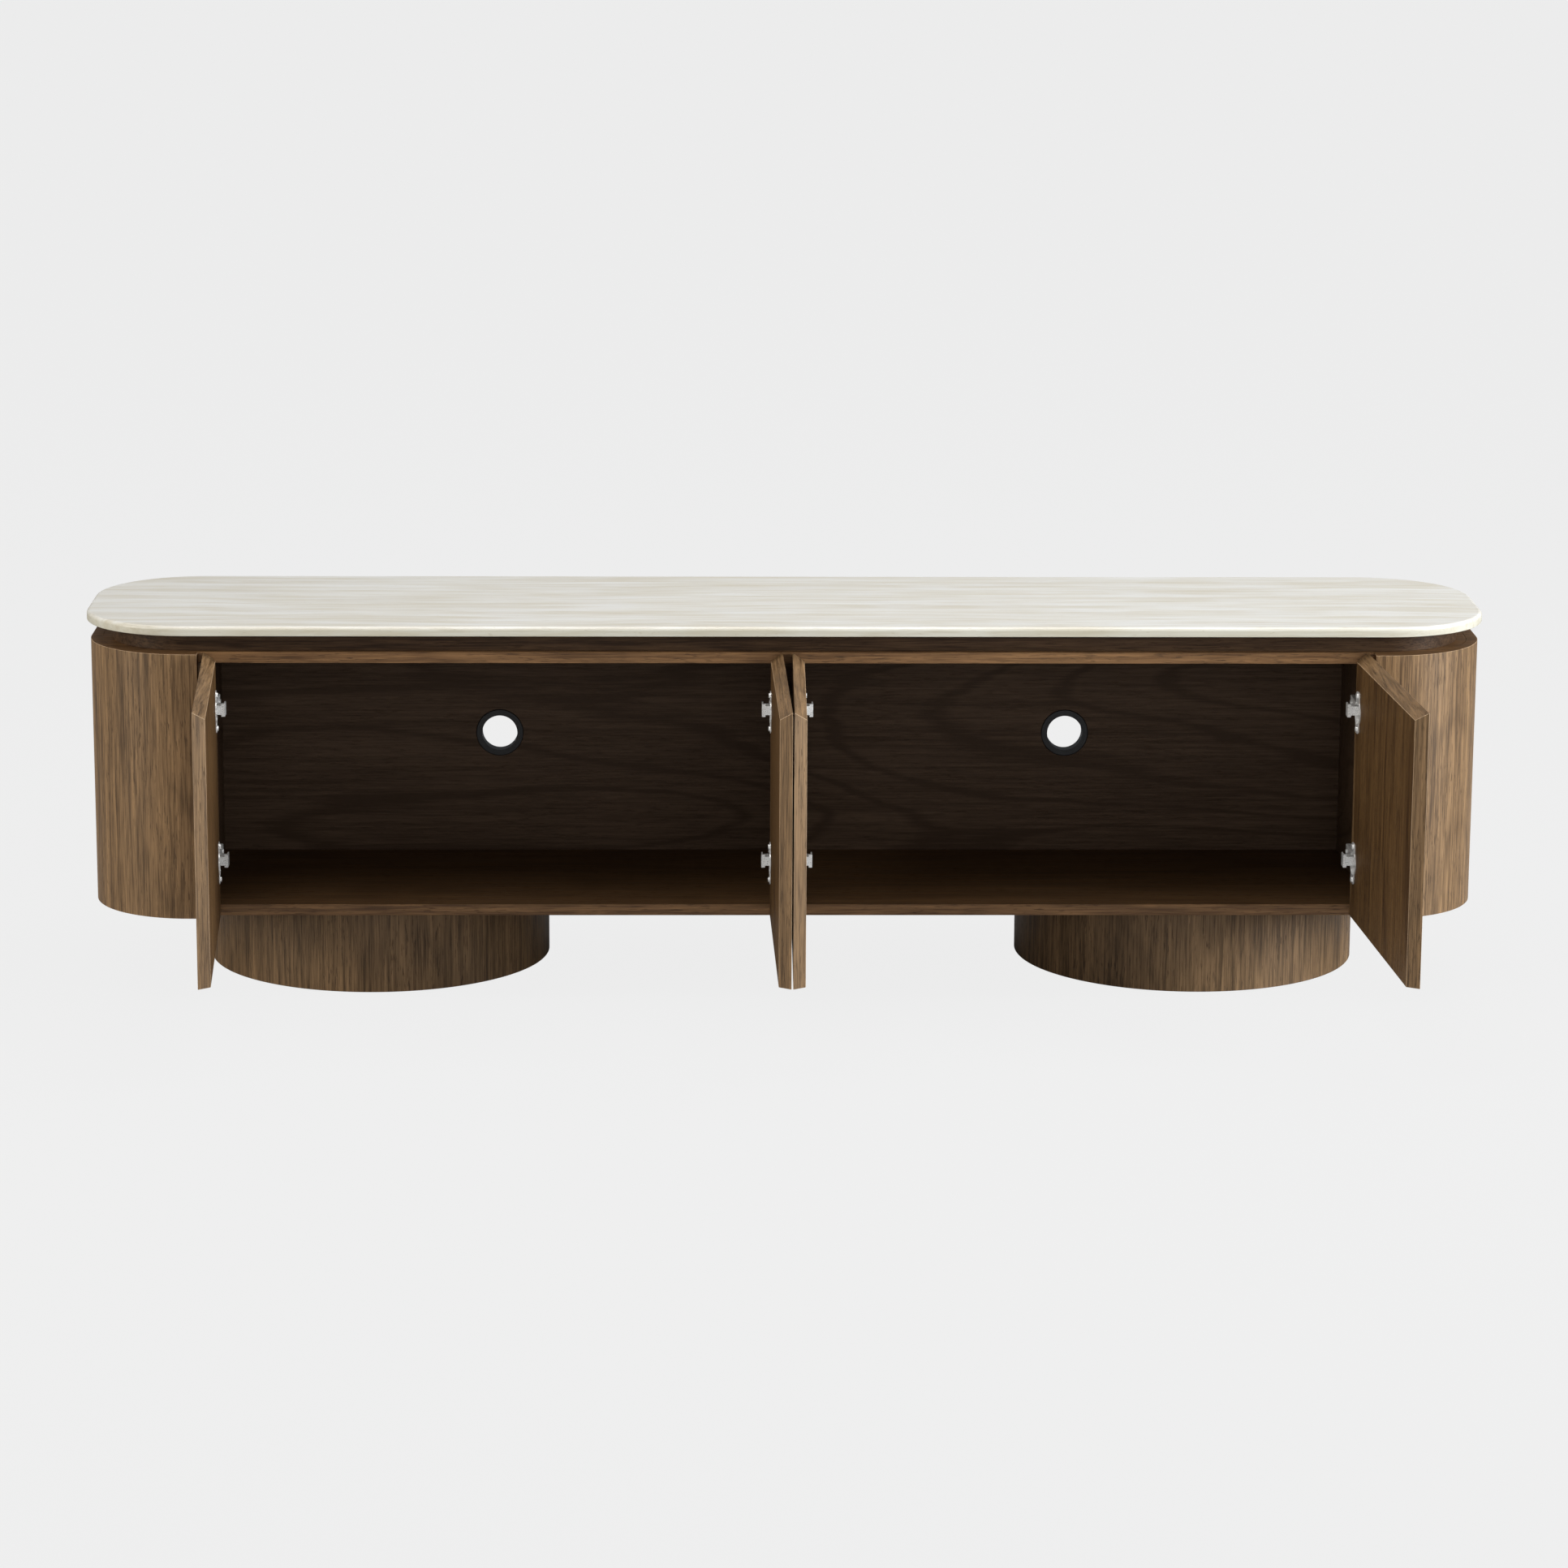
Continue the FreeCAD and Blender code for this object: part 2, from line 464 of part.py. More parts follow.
def doors_and_hinges():
    """Place each door's pieces, then swing what rides on the door to where it stands."""
    plate_fixings = []
    arm_fixings = []
    for name, edge_x, run, angle in DOORS:
        outer = abs(edge_x) > CARCASS_LENGTH / 4
        base = abs(edge_x) - SHELL_END_X if outer else PARTITION_HALF - abs(edge_x)
        host = ("left_side_upright" if run > 0 else "right_side_upright") if outer \
            else "centre_partition"
        pin = vec(edge_x + run * PIN_FROM_EDGE, PIN_FROM_FACE, 0)

        def place(shape):
            shape = shape.copy() if run > 0 else shape.mirror(vec(0, 0, 0), X_AXIS)
            shape.translate(vec(edge_x, 0, 0))
            return shape

        def swing(shape):
            shape = place(shape)
            shape.rotate(pin, Z_AXIS, -run * angle)
            return shape

        keep(name + "_leaf", swing(door_leaf()))
        keep(name + "_hinge_cups", *[swing(hinge_cup(z)) for z in HINGE_HEIGHTS])
        keep(name + "_hinge_pins", *[swing(hinge_pin(z)) for z in HINGE_HEIGHTS])
        cup_fixings = []
        for z in HINGE_HEIGHTS:
            for body in cup_screws(z):
                middle = body.CenterOfMass
                face = vec(middle.x, body.BoundBox.YMax, middle.z)
                cup_fixings.append(swing(with_recess(body, face, Y_AXIS, CUP_SCREW[2])))
        keep(name + "_cup_screws", *cup_fixings)
        keep(name + "_hinge_arms", *[place(hinge_arm(z)) for z in HINGE_HEIGHTS])
        keep(name + "_mounting_plates", *[place(mounting_plate(z, base)) for z in HINGE_HEIGHTS])
        for z in HINGE_HEIGHTS:
            for body in plate_screws(z, base):
                nodes[host] = nodes[host].cut(place(body))
                face = vec(body.BoundBox.XMax, body.CenterOfMass.y, body.CenterOfMass.z)
                plate_fixings.append(place(with_recess(body, face, X_AXIS, PLATE_SCREW[2])))
            body = arm_screw(z)
            face = vec(body.BoundBox.XMax, body.CenterOfMass.y, body.CenterOfMass.z)
            arm_fixings.append(place(with_recess(body, face, X_AXIS, ARM_SCREW[2])))
    keep("mounting_plate_screws", *plate_fixings)
    keep("arm_clamp_screws", *arm_fixings)


# ---- screws that hold the boards together -------------------------------------------
def fix(group, seat, heading, hosts, sizes):
    """Drive one countersunk screw: cut its hole in each board that it passes, and keep it."""
    body = screw(seat, heading, *sizes, countersunk=True)
    for host in hosts:
        nodes[host] = nodes[host].cut(body)
    group.append(with_recess(body, seat, heading, sizes[2]))


def board_screws():
    """Carcass screws into the upright boards, and the riser's and the plinths' screws."""
    carcass = []
    boards = (("left_side_upright", -(SHELL_END_X + UPRIGHT_OUTER_X) / 2),
              ("centre_partition", 0.0),
              ("right_side_upright", (SHELL_END_X + UPRIGHT_OUTER_X) / 2))
    rows = (FRONT_Y + SCREW_ROW_INSET, MID_Y, BACK_INNER_Y - SCREW_ROW_INSET)
    for board, x in boards:
        for y in rows:
            fix(carcass, vec(x, y, Z_TOP), -Z_AXIS, ("top_panel", board), CARCASS_SCREW)
            fix(carcass, vec(x, y, Z_BOTTOM), Z_AXIS, ("bottom_panel", board), CARCASS_SCREW)
    keep("carcass_screws", *carcass)

    riser = []
    for x in RISER_SCREW_X:
        for y in ROWS_Y:
            fix(riser, vec(x, y, Z_CEILING), Z_AXIS, ("top_panel", "top_riser"), RISER_SCREW)
    keep("riser_screws", *riser)

    plinth = []
    for side, sign in SIDES:
        for dx in (-PLINTH_RADIUS / 2, PLINTH_RADIUS / 2):
            for y in (PLINTH_Y - PLINTH_RADIUS / 2, PLINTH_BACK_Y - PLINTH_SCREW_INSET):
                fix(plinth, vec(sign * PLINTH_X + dx, y, Z_BOTTOM - PLINTH_TOP_THICK), Z_AXIS,
                    (side + "_plinth_top_plate", "bottom_panel"), PLINTH_SCREW)
    keep("plinth_screws", *plinth)


carcass_boards()
top_and_riser()
cable_grommets()
plinths()
doors_and_hinges()
board_screws()

os.makedirs("parts", exist_ok=True)
for node, shape in nodes.items():
    shape.exportStep("parts/" + node + ".step")
    print(node, len(shape.Solids), "solids", round(shape.Volume / 1000, 1), "cm3", shape.isValid())
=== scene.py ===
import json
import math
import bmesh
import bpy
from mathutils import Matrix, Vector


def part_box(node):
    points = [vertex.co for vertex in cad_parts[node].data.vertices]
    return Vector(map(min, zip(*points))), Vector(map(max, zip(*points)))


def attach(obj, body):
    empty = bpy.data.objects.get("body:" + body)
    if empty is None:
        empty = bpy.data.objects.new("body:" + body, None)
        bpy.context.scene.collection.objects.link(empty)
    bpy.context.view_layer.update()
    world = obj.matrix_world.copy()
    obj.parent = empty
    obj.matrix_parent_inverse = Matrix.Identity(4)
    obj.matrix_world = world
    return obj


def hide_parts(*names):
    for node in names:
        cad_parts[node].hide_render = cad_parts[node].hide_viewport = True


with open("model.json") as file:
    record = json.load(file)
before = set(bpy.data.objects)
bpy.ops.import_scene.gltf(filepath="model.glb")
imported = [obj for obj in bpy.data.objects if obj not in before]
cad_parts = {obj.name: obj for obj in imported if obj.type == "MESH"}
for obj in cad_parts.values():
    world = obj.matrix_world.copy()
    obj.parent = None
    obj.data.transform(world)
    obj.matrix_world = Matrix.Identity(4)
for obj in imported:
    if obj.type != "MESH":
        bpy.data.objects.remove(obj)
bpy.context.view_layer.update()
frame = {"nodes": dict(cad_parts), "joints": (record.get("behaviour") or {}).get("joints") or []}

# %% [markdown]
# # A low media cabinet
# The cabinet is a long walnut case with bent, rounded ends. A thin stone slab floats over it on a
# recessed dark riser, and two round-fronted plinths carry it. Its four doors have no handles: the
# inner side of each door is bevelled, so that a finger finds the edge. Here the doors stand open.
# The frame gives every size and place. What it can't give is the look, and that is what we make.

joints = {joint["child"]: joint for joint in frame["joints"]}
slab_low, slab_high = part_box("stone_top")
shell_low, shell_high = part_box("right_end_shell")
mid_y = (shell_low.y + shell_high.y) / 2
CASE_CORNER = 0.145     # bend radius of the case's four corners
WALL = 0.016            # thickness of the bent shells and drums
MATCH = 1e-5            # slack when an edge or face is picked by its place

# %% [markdown]
# ## The camera
# We look at the cabinet from the front, a little from above, with a long lens as furniture
# catalogues do. A long lens from far away keeps upright lines nearly parallel. The camera's
# turn is built from three simple turns: down, sideways, and a touch of roll.

# %% Camera
CAMERA_PLACE = Vector((-0.142, -6.725, 1.850))
LENS = 111.8
TILT_DOWN = math.radians(12.79)
TURN_RIGHT = math.radians(1.17)
ROLL = math.radians(0.28)

camera_data = bpy.data.cameras.new("studio_camera")
camera_data.lens = LENS
camera = bpy.data.objects.new("studio_camera", camera_data)
bpy.context.scene.collection.objects.link(camera)
camera.matrix_world = (Matrix.Translation(CAMERA_PLACE)
                       @ Matrix.Rotation(-TURN_RIGHT, 4, "Z")
                       @ Matrix.Rotation(math.pi / 2 - TILT_DOWN, 4, "X")
                       @ Matrix.Rotation(ROLL, 4, "Z"))
bpy.context.scene.camera = camera
print("camera lens", camera_data.lens, "mm")

# %% [markdown]
# ## Modelling helpers
# Each new piece is modelled as by hand: add a primitive, select edges or faces by where they are,
# bevel, cut or extrude them, and finish with modifiers. Operators act on all that is selected, so
# the helpers always clear the selection first.


# %% Selecting, and adding a block
def choose(piece):
    """Make this piece the only one selected."""
    bpy.ops.object.select_all(action="DESELECT")
    piece.select_set(True)
    bpy.context.view_layer.objects.active = piece


def block(name, low, high):
    """A cube primitive, stretched between two corners."""
    bpy.ops.object.select_all(action="DESELECT")
    bpy.ops.mesh.primitive_cube_add(size=1, location=(Vector(low) + Vector(high)) / 2)
    piece = bpy.context.object
    piece.name = name
    piece.scale = Vector(high) - Vector(low)
    bpy.ops.object.transform_apply(location=True, rotation=True, scale=True)
    return piece


def select_where(piece, kind, wanted):
    """Enter edit mode with the edges or faces selected for which wanted(item) is true."""
    choose(piece)
    bpy.ops.object.mode_set(mode="EDIT")
    bpy.ops.mesh.select_mode(type=kind)
    bpy.ops.mesh.select_all(action="DESELECT")
    mesh = bmesh.from_edit_mesh(piece.data)
    for item in mesh.edges if kind == "EDGE" else mesh.faces:
        item.select_set(bool(wanted(item)))
    bmesh.update_edit_mesh(piece.data)


def leave_edit():
    bpy.ops.object.mode_set(mode="OBJECT")


print("selection helpers ready")


# %% [markdown]
# Real corners are never knife sharp. A small bevel catches the light and makes the size readable.
# Weighted normals then keep the large faces flat while the bevels stay soft. A bevel can also be
# given its own material slot: on veneered board that thin line shows the paler edge of the
# veneer.


# %% Bevels, cuts and finishing
CORNER_STEPS = 40               # facets round a large corner
SHARP = math.radians(28)        # edges turning more than this get eased
VENEER_LINE = 0.0005            # width of the fine line along a veneered edge


def bevel_edges(piece, wanted, width, segments):
    select_where(piece, "EDGE", wanted)
    bpy.ops.mesh.bevel(offset=width, segments=segments, affect="EDGES")
    leave_edit()


def upright_edge(edge):
    """True for an edge that runs straight up."""
    a, b = (v.co for v in edge.verts)
    return abs(a.z - b.z) > MATCH and (a.xy - b.xy).length < MATCH


def slice_off(piece, point, normal):
    """Cut the piece with a plane, and drop what lies on the plane's outer side."""
    choose(piece)
    bpy.ops.object.mode_set(mode="EDIT")
    bpy.ops.mesh.select_all(action="SELECT")
    bpy.ops.mesh.bisect(plane_co=point, plane_no=normal, use_fill=True, clear_outer=True)
    leave_edit()


def apply_modifier(piece, kind, **settings):
    choose(piece)
    modifier = piece.modifiers.new(kind.lower(), kind)
    for key, value in settings.items():
        setattr(modifier, key, value)
    bpy.ops.object.modifier_apply(modifier=modifier.name)


def drill(piece, tool):
    """Take the tool's shape out of the piece, and throw the tool away."""
    apply_modifier(piece, "BOOLEAN", object=tool, operation="DIFFERENCE", solver="EXACT")
    bpy.data.objects.remove(tool)


def ease_edges(piece, width, segments=1, slot=0):
    """Bevel every sharp edge, and give the bevel the material in this slot."""
    apply_modifier(piece, "BEVEL", width=width, segments=segments, limit_method="ANGLE",
                   angle_limit=SHARP, material=slot)


def smooth(piece):
    """Shade the piece smoothly without bending its flats."""
    choose(piece)
    bpy.ops.object.shade_smooth()
    apply_modifier(piece, "WEIGHTED_NORMAL", weight=100, keep_sharp=False)
    print(piece.name, len(piece.data.polygons), "faces")


def give(piece, *materials):
    """Put these materials in the piece's slots, in order."""
    piece.data.materials.clear()
    for material in materials:
        piece.data.materials.append(material)


def paint_faces(piece, slot, wanted):
    """Give the faces for which wanted(face) is true another material slot."""
    for face in piece.data.polygons:
        if wanted(face):
            face.material_index = slot


print("cutting and finishing helpers ready")


# %% [markdown]
# ## Materials: the tools
# A shader is a small machine of nodes. `wire` adds one node and connects it in one call, so that
# a material reads from top to bottom. Effects that several finishes share are node groups.


# %% Node helpers
def wire(tree, kind, inputs=None, **settings):
    """Add a node. An input's value is a constant, or the output socket that feeds it."""
    node = tree.nodes.new(kind)
    for key, value in settings.items():
        setattr(node, key, value)
    for key, value in (inputs or {}).items():
        if isinstance(value, bpy.types.NodeSocket):
            tree.links.new(value, node.inputs[key])
        else:
            node.inputs[key].default_value = value
    return node


def new_material(name):
    """A material with its tree and its Principled shader."""
    material = bpy.data.materials.new(name)
    material.use_nodes = True
    return material, material.node_tree, material.node_tree.nodes["Principled BSDF"]


def object_place(tree):
    """Where a point lies on the piece itself, so that the finish moves with it."""
    return tree.nodes.new("ShaderNodeTexCoord").outputs["Object"]


def maths(tree, operation, a, b=0.0, c=0.0):
    node = wire(tree, "ShaderNodeMath", {0: a, 1: b, 2: c}, operation=operation)
    return node.outputs[0]


def spread(tree, value, low, high, to_low=0.0, to_high=1.0):
    """Stretch the range low..high of a value to another range."""
    node = wire(tree, "ShaderNodeMapRange", {"Value": value, "From Min": low, "From Max": high,
                                             "To Min": to_low, "To Max": to_high})
    return node.outputs[0]


def blend(tree, factor, a, b, kind="MIX"):
    """Mix two colours. The Mix node's colour sockets are its numbers 6 and 7."""
    node = wire(tree, "ShaderNodeMix", {0: factor, 6: a, 7: b}, data_type="RGBA",
                blend_type=kind)
    return node.outputs[2]


def stretched_noise(tree, vector, scale, detail=3.0, rough=0.55):
    """Noise whose grains are as long and wide as the three scales say."""
    place = wire(tree, "ShaderNodeMapping", {"Vector": vector, "Scale": scale})
    node = wire(tree, "ShaderNodeTexNoise", {"Vector": place.outputs[0], "Scale": 1.0,
                                             "Detail": detail, "Roughness": rough})
    return node.outputs[0]


def new_group(name, inputs, outputs):
    """An empty node group with named sockets: (socket name, kind, default)."""
    group = bpy.data.node_groups.new(name, "ShaderNodeTree")
    for label, kind, default in inputs:
        socket = group.interface.new_socket(label, in_out="INPUT", socket_type=kind)
        if default is not None:
            socket.default_value = default
    for label, kind in outputs:
        group.interface.new_socket(label, in_out="OUTPUT", socket_type=kind)
    start = group.nodes.new("NodeGroupInput")
    end = group.nodes.new("NodeGroupOutput")
    return group, start.outputs, end.inputs


print("node helpers ready")


# %% [markdown]
# ## Walnut veneer
# Walnut is cut into thin leaves and glued to board. Three things make it look like walnut. Growth
# rings, cut at a slant, draw wavy contours: they are the level lines of one slow, stretched
# noise. Fibres draw fine streaks along the grain. Pores are short dark dashes, more of them in
# the early wood. The group works in grain space, where Z runs along the grain.

# %% Group: walnut grain
COLOR = "NodeSocketColor"
FLOAT = "NodeSocketFloat"
VECTOR = "NodeSocketVector"
PORE_COLOUR = (0.022, 0.011, 0.005, 1)

grain, given, made = new_group(
    "walnut_grain",
    [("Vector", VECTOR, None), ("Dark", COLOR, (0.05, 0.03, 0.02, 1)),
     ("Light", COLOR, (0.2, 0.12, 0.07, 1)), ("Rings", FLOAT, 9.0), ("Pores", FLOAT, 0.6),
     ("Figure", FLOAT, 0.13)],
    [("Color", COLOR), ("Roughness", FLOAT), ("Height", FLOAT)])
slow = stretched_noise(grain, given["Vector"], (3.2, 3.2, 0.8), 1.0, 0.4)
wobble = stretched_noise(grain, given["Vector"], (26, 26, 3.0), 2.0)
level = maths(grain, "MULTIPLY_ADD", slow, given["Rings"], maths(grain, "MULTIPLY", wobble, 0.5))
ring = spread(grain, maths(grain, "PINGPONG", level, 0.5), 0.0, 0.5)
late_wood = spread(grain, ring, 0.72, 1.0)
band = stretched_noise(grain, given["Vector"], (38, 38, 0.9), 3.0, 0.6)
streak = stretched_noise(grain, given["Vector"], (150, 150, 4.0), 2.0, 0.6)
fibre = stretched_noise(grain, given["Vector"], (470, 470, 15), 2.0, 0.65)
patch = stretched_noise(grain, given["Vector"], (7, 7, 1.3), 2.0)
pore = stretched_noise(grain, given["Vector"], (480, 480, 48), 2.0, 0.6)
pore = spread(grain, pore, 0.57, 0.66)
pore = maths(grain, "MULTIPLY", pore, spread(grain, ring, 0.1, 0.9, 1.0, 0.4))
tone = maths(grain, "MULTIPLY", spread(grain, streak, 0.36, 0.64), 0.36)
tone = maths(grain, "MULTIPLY_ADD", spread(grain, fibre, 0.38, 0.62), 0.38, tone)
tone = maths(grain, "MULTIPLY_ADD", spread(grain, band, 0.36, 0.64), 0.14, tone)
tone = maths(grain, "MULTIPLY_ADD", spread(grain, patch, 0.3, 0.7), 0.10, tone)
tone = maths(grain, "SUBTRACT", tone, maths(grain, "MULTIPLY", late_wood, given["Figure"]))
colour = blend(grain, spread(grain, tone, 0.12, 0.88), given["Dark"], given["Light"])
pore_mask = maths(grain, "MULTIPLY", pore, given["Pores"])
colour = blend(grain, pore_mask, colour, PORE_COLOUR)
grain.links.new(colour, made["Color"])
rough = maths(grain, "MULTIPLY_ADD", pore, 0.2, spread(grain, fibre, 0.3, 0.7, 0.46, 0.56))
grain.links.new(rough, made["Roughness"])
height = maths(grain, "MULTIPLY_ADD", pore, -0.8, maths(grain, "MULTIPLY", fibre, 0.5))
grain.links.new(height, made["Height"])
print("walnut_grain has", len(grain.nodes), "nodes")

# %% [markdown]
# Boards and doors differ in which way the leaf was laid. A Mapping node turns the piece's own
# coordinates into grain space, so one group serves upright and level grain.

# %% Walnut finishes
GRAIN_TURN = {"up": (0, 0, 0), "along": (0, math.pi / 2, 0), "deep": (math.pi / 2, 0, 0)}


def walnut(name, way, dark, light, rings=11.0, pores=0.6, shift=(0, 0, 0), gloss=0.28,
           figure=0.13):
    material, tree, shader = new_material(name)
    place = wire(tree, "ShaderNodeMapping", {"Vector": object_place(tree),
                                             "Rotation": GRAIN_TURN[way], "Location": shift})
    wood = wire(tree, "ShaderNodeGroup", node_tree=grain)
    tree.links.new(place.outputs[0], wood.inputs["Vector"])
    wood.inputs["Dark"].default_value = (*dark, 1)
    wood.inputs["Light"].default_value = (*light, 1)
    wood.inputs["Rings"].default_value = rings
    wood.inputs["Pores"].default_value = pores
    wood.inputs["Figure"].default_value = figure
    bump = wire(tree, "ShaderNodeBump", {"Height": wood.outputs["Height"], "Strength": 0.35,
                                         "Distance": 0.0004})
    tree.links.new(wood.outputs["Color"], shader.inputs["Base Color"])
    tree.links.new(wood.outputs["Roughness"], shader.inputs["Roughness"])
    tree.links.new(bump.outputs[0], shader.inputs["Normal"])
    shader.inputs["Coat Weight"].default_value = gloss * 0.15
    shader.inputs["Coat Roughness"].default_value = 0.35
    shader.inputs["Specular IOR Level"].default_value = gloss
    return material


DARK = (0.072, 0.038, 0.0145)
LIGHT = (0.280, 0.165, 0.075)
walnut_up = walnut("walnut_upright_grain", "up", DARK, LIGHT)
walnut_drum = walnut("walnut_drum", "up", (0.066, 0.036, 0.014), (0.252, 0.150, 0.071),
                     shift=(0.4, 0.3, 0.9))
walnut_along = walnut("walnut_level_grain", "along", (0.082, 0.038, 0.013),
                      (0.255, 0.132, 0.053))
walnut_deep = walnut("walnut_door_bevel", "deep", (0.080, 0.043, 0.017), (0.250, 0.148, 0.069),
                     pores=0.25)
walnut_rim = walnut("walnut_veneer_edge", "up", (0.28, 0.18, 0.10), (0.50, 0.35, 0.22),
                    pores=0.2)
# The next two finishes are darker than the outside walnut: painted shade for the inside of the
# compartments and for their floors.
walnut_interior_shade = walnut("walnut_interior_painted_shade", "along", (0.060, 0.035, 0.020),
                       (0.118, 0.074, 0.046), rings=16.0, pores=0.3, shift=(0.3, 0.1, 0.7),
                       gloss=0.1, figure=0.5)
walnut_floor_shade = walnut("walnut_compartment_floor_painted_shade", "along", (0.056, 0.028, 0.011),
                      (0.124, 0.066, 0.028), pores=0.3, shift=(0.1, 0.5, 0.2), gloss=0.12)
# The doors' inner faces get a darker walnut: painted shade on the side that faces into the
# cabinet.
walnut_door_inner_shade = walnut("walnut_door_inner_painted_shade", "up", (0.044, 0.020, 0.0065),
                       (0.160, 0.085, 0.030), shift=(0.6, 0.2, 0.1), gloss=0.2, figure=0.3)
walnut_riser = walnut("walnut_dark_riser", "along", (0.026, 0.013, 0.0065),
                      (0.085, 0.047, 0.024), gloss=0.12)
print("walnut finishes made")

# %% [markdown]
# ## Travertine
# Travertine forms in layers, and this slab is cut along them: cream bands run the length of the
# top, crossed by fine, cloudy lines. Because the bands are layers in the stone, they are drawn in
# three dimensions. So they turn into short upright marks where the slab's round ends cut across
# them.

# %% Group and finish: travertine
stone, given, made = new_group(
    "travertine_layers",
    [("Vector", VECTOR, None)],
    [("Color", COLOR), ("Roughness", FLOAT), ("Height", FLOAT)])
CREAM = (0.735, 0.718, 0.675, 1)
WARM_BAND = (0.615, 0.570, 0.480, 1)
PALE_CLOUD = (0.735, 0.730, 0.720, 1)
FINE_LINE = (0.54, 0.485, 0.39, 1)
PIT_COLOUR = (0.46, 0.39, 0.30, 1)
drift = stretched_noise(stone, given["Vector"], (1.6, 4.0, 4.0), 2.0)
lift = wire(stone, "ShaderNodeCombineXYZ", {"Y": maths(stone, "MULTIPLY", drift, 0.06)})
layered = wire(stone, "ShaderNodeVectorMath", {0: given["Vector"], 1: lift.outputs[0]},
               operation="ADD").outputs[0]
band = stretched_noise(stone, layered, (2.8, 42, 42), 4.0, 0.62)
line = stretched_noise(stone, layered, (7.0, 165, 140), 3.0, 0.6)
cloud = stretched_noise(stone, given["Vector"], (9, 22, 22), 3.0)
vein = spread(stone, band, 0.38, 0.64)
thin = spread(stone, line, 0.50, 0.66)
base = blend(stone, vein, CREAM, WARM_BAND)
base = blend(stone, spread(stone, cloud, 0.45, 0.8, 0.0, 0.55), base, PALE_CLOUD)
base = blend(stone, maths(stone, "MULTIPLY", thin, 0.45), base, FINE_LINE)
pit = stretched_noise(stone, layered, (90, 420, 420), 2.0)
pit = spread(stone, pit, 0.66, 0.72)
base = blend(stone, maths(stone, "MULTIPLY", pit, 0.35), base, PIT_COLOUR)
stone.links.new(base, made["Color"])
stone.links.new(spread(stone, line, 0.3, 0.8, 0.30, 0.44), made["Roughness"])
stone.links.new(maths(stone, "MULTIPLY", pit, -1.0), made["Height"])
print("travertine_layers has", len(stone.nodes), "nodes")

# %% [markdown]
# The top is honed to a soft sheen. Round the edge the stone is tinted a little darker and warmer:
# painted shade, so that the upright edge reads darker than the lit top. Height alone decides:
# below the rounded arris is the edge.

# %% Finish: honed travertine
SLAB_TOP_ROUND = 0.0055
FLAT_DEPTH = 0.0003             # the tint starts this far below the top
# The edge tint is painted shade: a darker, warmer colour below the top arris.
EDGE_SHADE_TINT = (0.78, 0.765, 0.69, 1)
travertine, tree, shader = new_material("honed_travertine")
where = object_place(tree)
layers = wire(tree, "ShaderNodeGroup", node_tree=stone)
tree.links.new(where, layers.inputs["Vector"])
height = wire(tree, "ShaderNodeSeparateXYZ", {0: where}).outputs[2]
# Below the top arris the stone's colour is multiplied darker and warmer: painted shade on the
# slab's edge.
edge_shade_mask = spread(tree, height, slab_high.z - SLAB_TOP_ROUND, slab_high.z - FLAT_DEPTH, 1.0, 0.0)
edge_shaded_colour = blend(tree, edge_shade_mask, layers.outputs["Color"], EDGE_SHADE_TINT, "MULTIPLY")
bump = wire(tree, "ShaderNodeBump", {"Height": layers.outputs["Height"], "Strength": 0.3,
                                     "Distance": 0.0003})
tree.links.new(edge_shaded_colour, shader.inputs["Base Color"])
tree.links.new(layers.outputs["Roughness"], shader.inputs["Roughness"])
tree.links.new(bump.outputs[0], shader.inputs["Normal"])
shader.inputs["Specular IOR Level"].default_value = 0.45
print("travertine made")

# %% [markdown]
# ## Metal and plastic
# The hinges are nickel plated: bright, with a faint haze where fingers and the press have touched
# them. Plastic from a mould has a fine, even grain. Both get their life from small changes in
# roughness, and from a bump far finer than the eye resolves at arm's length.


# %% Hinge metal, screws, plastic and silicone
def plain_finish(name, colour, shade, metallic, rough, grain_size, bump_strength=0.1):
    """A finish with small variations of colour and roughness over a fine bump."""
    material, tree, shader = new_material(name)
    where = object_place(tree)
    haze = stretched_noise(tree, where, (60, 60, 60), 3.0)
    fine = stretched_noise(tree, where, grain_size, 2.0)
    mixed = blend(tree, spread(tree, haze, 0.35, 0.65), (*shade, 1), (*colour, 1))
    tree.links.new(mixed, shader.inputs["Base Color"])
    tree.links.new(spread(tree, fine, 0.3, 0.7, rough * 0.8, rough * 1.2),
                   shader.inputs["Roughness"])
    bump = wire(tree, "ShaderNodeBump", {"Height": fine, "Strength": bump_strength,
                                         "Distance": 0.0002})
    tree.links.new(bump.outputs[0], shader.inputs["Normal"])
    shader.inputs["Metallic"].default_value = metallic
    return material


nickel = plain_finish("nickel_plate", (0.95, 0.94, 0.92), (0.86, 0.85, 0.83), 0.55, 0.3,
                      (900, 900, 900))
zinc = plain_finish("zinc_plate", (0.80, 0.79, 0.77), (0.66, 0.65, 0.63), 0.7, 0.34,
                    (1500, 1500, 200))
black_plastic = plain_finish("black_moulded_plastic", (0.009, 0.009, 0.010),
                             (0.005, 0.005, 0.006), 0.0, 0.5, (2200, 2200, 2200), 0.25)
nylon = plain_finish("dark_nylon", (0.045, 0.040, 0.036), (0.030, 0.027, 0.025), 0.0, 0.5,
                     (1200, 1200, 1200), 0.2)
silicone = plain_finish("clear_silicone", (0.62, 0.61, 0.58), (0.54, 0.53, 0.50), 0.0, 0.3,
                        (500, 500, 500))
print("metal and plastic made")

# %% [markdown]
# ## The stone slab
# The slab is one block. Its four upright corners are rounded first, then the top arris is rounded
# softly, and the underside is cut back with a bevel so that the stone looks thinner than it is.

# %% Stone slab
SLAB_CORNER = 0.150
SLAB_UNDER_BEVEL = 0.001

